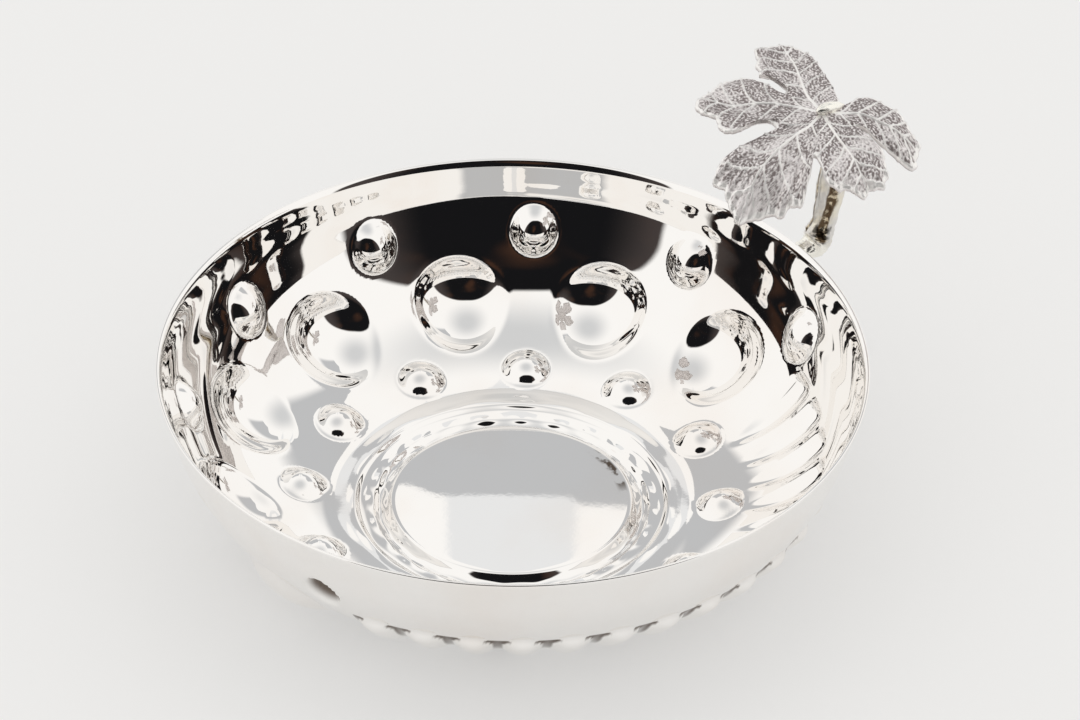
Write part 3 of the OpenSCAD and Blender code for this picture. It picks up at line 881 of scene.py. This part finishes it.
def build_world():
    """White surround for the camera and the floor; metal sees a studio with a dark front and grey back."""
    world = bpy.data.worlds.new("studio")
    world.use_nodes = True
    bpy.context.scene.world = world
    nodes = Nodes(world.node_tree)
    direction = nodes.add("ShaderNodeTexCoord").outputs["Generated"]
    right = (math.cos(CAMERA_AZIMUTH), math.sin(CAMERA_AZIMUTH), 0)
    near = (math.sin(CAMERA_AZIMUTH), -math.cos(CAMERA_AZIMUTH), 0)
    x = nodes.dot(direction, right)
    y = nodes.dot(direction, near)
    z = nodes.dot(direction, (0, 0, 1))
    degree = math.degrees(1)
    azimuth = nodes.math("MULTIPLY", nodes.math("ARCTAN2", x, y), degree)
    elevation = nodes.math("MULTIPLY", nodes.math("ARCSINE", z), degree)
    aside = nodes.math("MULTIPLY", nodes.math("ARCTAN2", x, nodes.math("MULTIPLY", y, -1)), degree)
    either_side = nodes.math("ABSOLUTE", aside)

    to_right = nodes.math("DIVIDE", azimuth, FRONT_RIGHT)
    to_left = nodes.math("DIVIDE", azimuth, -FRONT_LEFT)
    wide = nodes.math("POWER", nodes.math("MAXIMUM", to_right, to_left), FRONT_SQUARE)
    tall = nodes.math("MAXIMUM", nodes.math("DIVIDE", elevation, FRONT_TOP), 0)
    arch = nodes.math("ADD", wide, nodes.math("POWER", tall, FRONT_SQUARE))
    dark = nodes.ramp(arch, 0.93, 1.07, 1, 0)

    # Grey back: its upper edge is the line across the dome, and it fades out below and to the sides
    skyline = nodes.total(
        nodes.ramp(aside, -2.6, -1.6, 37.1, 37.6), nodes.ramp(aside, 1.3, 1.7, 0, 0.3),
        nodes.ramp(either_side, 4, 9, 0, 8.5), nodes.ramp(aside, 20, 40, 0, 9))
    low = nodes.total(nodes.ramp(aside, -9, -4, 20, 28), nodes.ramp(aside, 4, 9, 0, 4))
    back = nodes.product(
        nodes.ramp(nodes.math("SUBTRACT", elevation, skyline), -0.1, 0.1, 1, 0),
        nodes.ramp(nodes.math("SUBTRACT", elevation, low), 0, 7),
        nodes.ramp(aside, -36, -30), nodes.ramp(aside, 52, 60, 1, 0))
    panel = nodes.product(nodes.ramp(either_side, 1.4, 1.7, 1, 0), nodes.ramp(elevation, 46, 60, 1, 0))
    top = nodes.ramp(elevation, 55, 85)

    murk = nodes.cloud(direction, 2.5, 1.0)
    front = nodes.mix(nodes.ramp(murk, 0.55, 0.8), rgba(FRONT_BLACK), rgba(FRONT_BROWN))
    flank = nodes.ramp(nodes.math("ABSOLUTE", azimuth), 28, 50)
    front = nodes.mix(flank, front, rgba(FRONT_FLANK))
    seen = nodes.mix(top, rgba(ROOM_WHITE), rgba(ROOM_TOP))
    seen = nodes.mix(panel, seen, rgba(ROOM_PANEL))
    seen = nodes.mix(back, seen, rgba(ROOM_BACK))
    seen = nodes.mix(dark, seen, front)

    path = nodes.add("ShaderNodeLightPath").outputs
    mirror = nodes.mix(path["Is Glossy Ray"], rgba(ROOM_LIGHT), seen)
    shown = nodes.mix(path["Is Camera Ray"], mirror, rgba(BACKGROUND))
    background = nodes.add("ShaderNodeBackground", {"Color": shown, "Strength": 1.0})
    output = nodes.add("ShaderNodeOutputWorld", {"Surface": background.outputs[0]})
    output.is_active_output = True


def build_floor(half=3000.0):
    """Plain pale floor that keeps the object's shadow."""
    corners = np.array([[-half, -half, 0], [half, -half, 0], [half, half, 0], [-half, half, 0]])
    floor = make_mesh("floor", corners, [[0, 1, 2, 3]])
    material, nodes = new_material("pale_floor")
    diffuse = nodes.add("ShaderNodeBsdfDiffuse", {"Color": rgba(FLOOR_COLOUR)})
    glow = nodes.add("ShaderNodeEmission", {"Color": rgba(FLOOR_COLOUR), "Strength": 1.0})
    path = nodes.add("ShaderNodeLightPath").outputs
    shown = nodes.math("MAXIMUM", path["Is Camera Ray"], path["Is Glossy Ray"])
    shown = nodes.math("MAXIMUM", shown, path["Is Transmission Ray"])
    share = nodes.math("MULTIPLY", shown, FLOOR_GLOW)
    mixed = nodes.add("ShaderNodeMixShader", {0: share, 1: diffuse.outputs[0], 2: glow.outputs[0]})
    nodes.add("ShaderNodeOutputMaterial", {"Surface": mixed.outputs[0]})
    floor.data.materials.append(material)


# Materials

def attribute_value(nodes, name):
    """Output of a number stored on the points."""
    return nodes.add("ShaderNodeAttribute", attribute_name=name).outputs["Fac"]


def tarnish(nodes, place):
    """Share of a dark smear that lies inside the dome's edge, near the handle."""
    split = nodes.add("ShaderNodeSeparateXYZ", {0: place}).outputs
    squares = nodes.math("ADD", nodes.math("POWER", split["X"], 2), nodes.math("POWER", split["Y"], 2))
    out = nodes.math("DIVIDE", nodes.math("SQRT", squares), MM)
    turn = nodes.math("MULTIPLY", nodes.math("ARCTAN2", split["Y"], split["X"]), math.degrees(1))
    patchy = nodes.cloud(place, 700.0, 3.0)
    inside = nodes.math("GREATER_THAN", split["Z"], SMEAR_ABOVE * MM)
    return nodes.product(
        nodes.ramp(patchy, 0.42, 0.56), nodes.ramp(out, *SMEAR_NEAR), nodes.ramp(out, *SMEAR_FAR, 1, 0),
        nodes.ramp(turn, *SMEAR_FROM), nodes.ramp(turn, *SMEAR_TO, 1, 0), inside)


def polished_silver():
    """Mirror-polished silver with a faint warm tone, haze, fine rubbing marks, painted shade on the outside
    and a dark smear.
    """
    material, nodes = new_material("polished_silver")
    place = nodes.add("ShaderNodeTexCoord").outputs["Object"]
    cloud = nodes.cloud(place, 60.0, 4.0)
    grain = nodes.cloud(place, 900.0, 3.0)
    colour = nodes.mix(nodes.ramp(cloud, 0.45, 0.75), rgba(POLISH), rgba(POLISH_WARM))
    dent_shade = attribute_value(nodes, "dent_shade")
    # painted shade behind the bosses and at the heads of the flute gaps
    colour = nodes.mix(nodes.ramp(dent_shade, 0.1, 1.0), colour, rgba(DENT_PAINTED_SHADE))
    colour = nodes.mix(tarnish(nodes, place), colour, rgba(SMEAR_TONE))
    haze = nodes.ramp(cloud, 0.35, 0.8, 0.01, 0.035)
    nodes.metal(colour, 1.0, haze, grain, 0.008, 0.0001)
    return material


def leaf_silver():
    """Matted cast silver: bright on veins and edges, toned dark in the hollows between, lightened with
    painted light where lobes hang low.
    """
    material, nodes = new_material("leaf_silver")
    place = nodes.add("ShaderNodeTexCoord").outputs["Object"]
    bright = attribute_value(nodes, "bright")
    # pit tone, with painted light on the low-hanging lobes
    hollow = attribute_value(nodes, "hollow")
    pits = nodes.cloud(place, 4600.0, 2.0)
    tone = nodes.math("ADD", hollow, nodes.math("MULTIPLY", nodes.math("SUBTRACT", pits, 0.5), 0.9))
    cloud = nodes.cloud(place, 330.0, 2.0)
    tone = nodes.math("MULTIPLY", tone, nodes.ramp(cloud, 0.36, 0.6, 0.6, 1.25))
    field = nodes.mix(nodes.ramp(tone, 0.08, 0.8), rgba(LEAF_PALE), rgba(LEAF_TONED))
    colour = nodes.mix(nodes.ramp(bright, 0.1, 0.6), field, rgba(LEAF_BRIGHT))
    roughness = nodes.ramp(bright, 0.1, 0.8, 0.52, 0.3)
    nodes.metal(colour, 0.65, roughness, pits, 0.5, 0.00012)
    return material


def twig_silver():
    """Cast silver: matt bark, painted dark-brown shade flecked with gilt in the grooves, rubbed bright on
    the heel and the bead.
    """
    material, nodes = new_material("twig_silver")
    place = nodes.add("ShaderNodeTexCoord").outputs["Object"]
    groove = attribute_value(nodes, "groove")
    worn = attribute_value(nodes, "worn")
    patch = nodes.cloud(place, 420.0, 4.0)
    speck = nodes.cloud(place, 1500.0, 2.0)
    tone = nodes.math("ADD", groove, nodes.math("MULTIPLY", nodes.math("SUBTRACT", patch, 0.5), 0.8))
    bark = nodes.mix(nodes.ramp(patch, 0.45, 0.7), rgba(BARK_GREY), rgba(BARK_GILT))
    # painted dark-brown shade in the grooves, flecked with gilt
    hollow = nodes.mix(nodes.ramp(speck, 0.5, 0.66), rgba(GROOVE_PAINTED_SHADE), rgba(GROOVE_GILT))
    colour = nodes.mix(nodes.ramp(tone, 0.3, 0.7), bark, hollow)
    colour = nodes.mix(worn, colour, rgba(TWIG_WORN))
    roughness = nodes.ramp(tone, 0.2, 0.6, 0.42, 0.24)
    roughness = nodes.math("SUBTRACT", roughness, nodes.math("MULTIPLY", worn, 0.16))
    nodes.metal(colour, 1.0, roughness, speck, 0.3, 0.00015)
    return material


def dress(piece, node, material):
    """Stand a piece in for a node of the frame, with its material."""
    piece.data.materials.append(material)
    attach(piece, BODY)
    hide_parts(node)


bpy.context.scene.view_settings.view_transform = "Standard"
build_camera()
build_world()
build_floor()
dress(build_bowl(), "bowl", polished_silver())
dress(build_stem(), "handle_stem", twig_silver())
dress(build_leaf(), "leaf", leaf_silver())
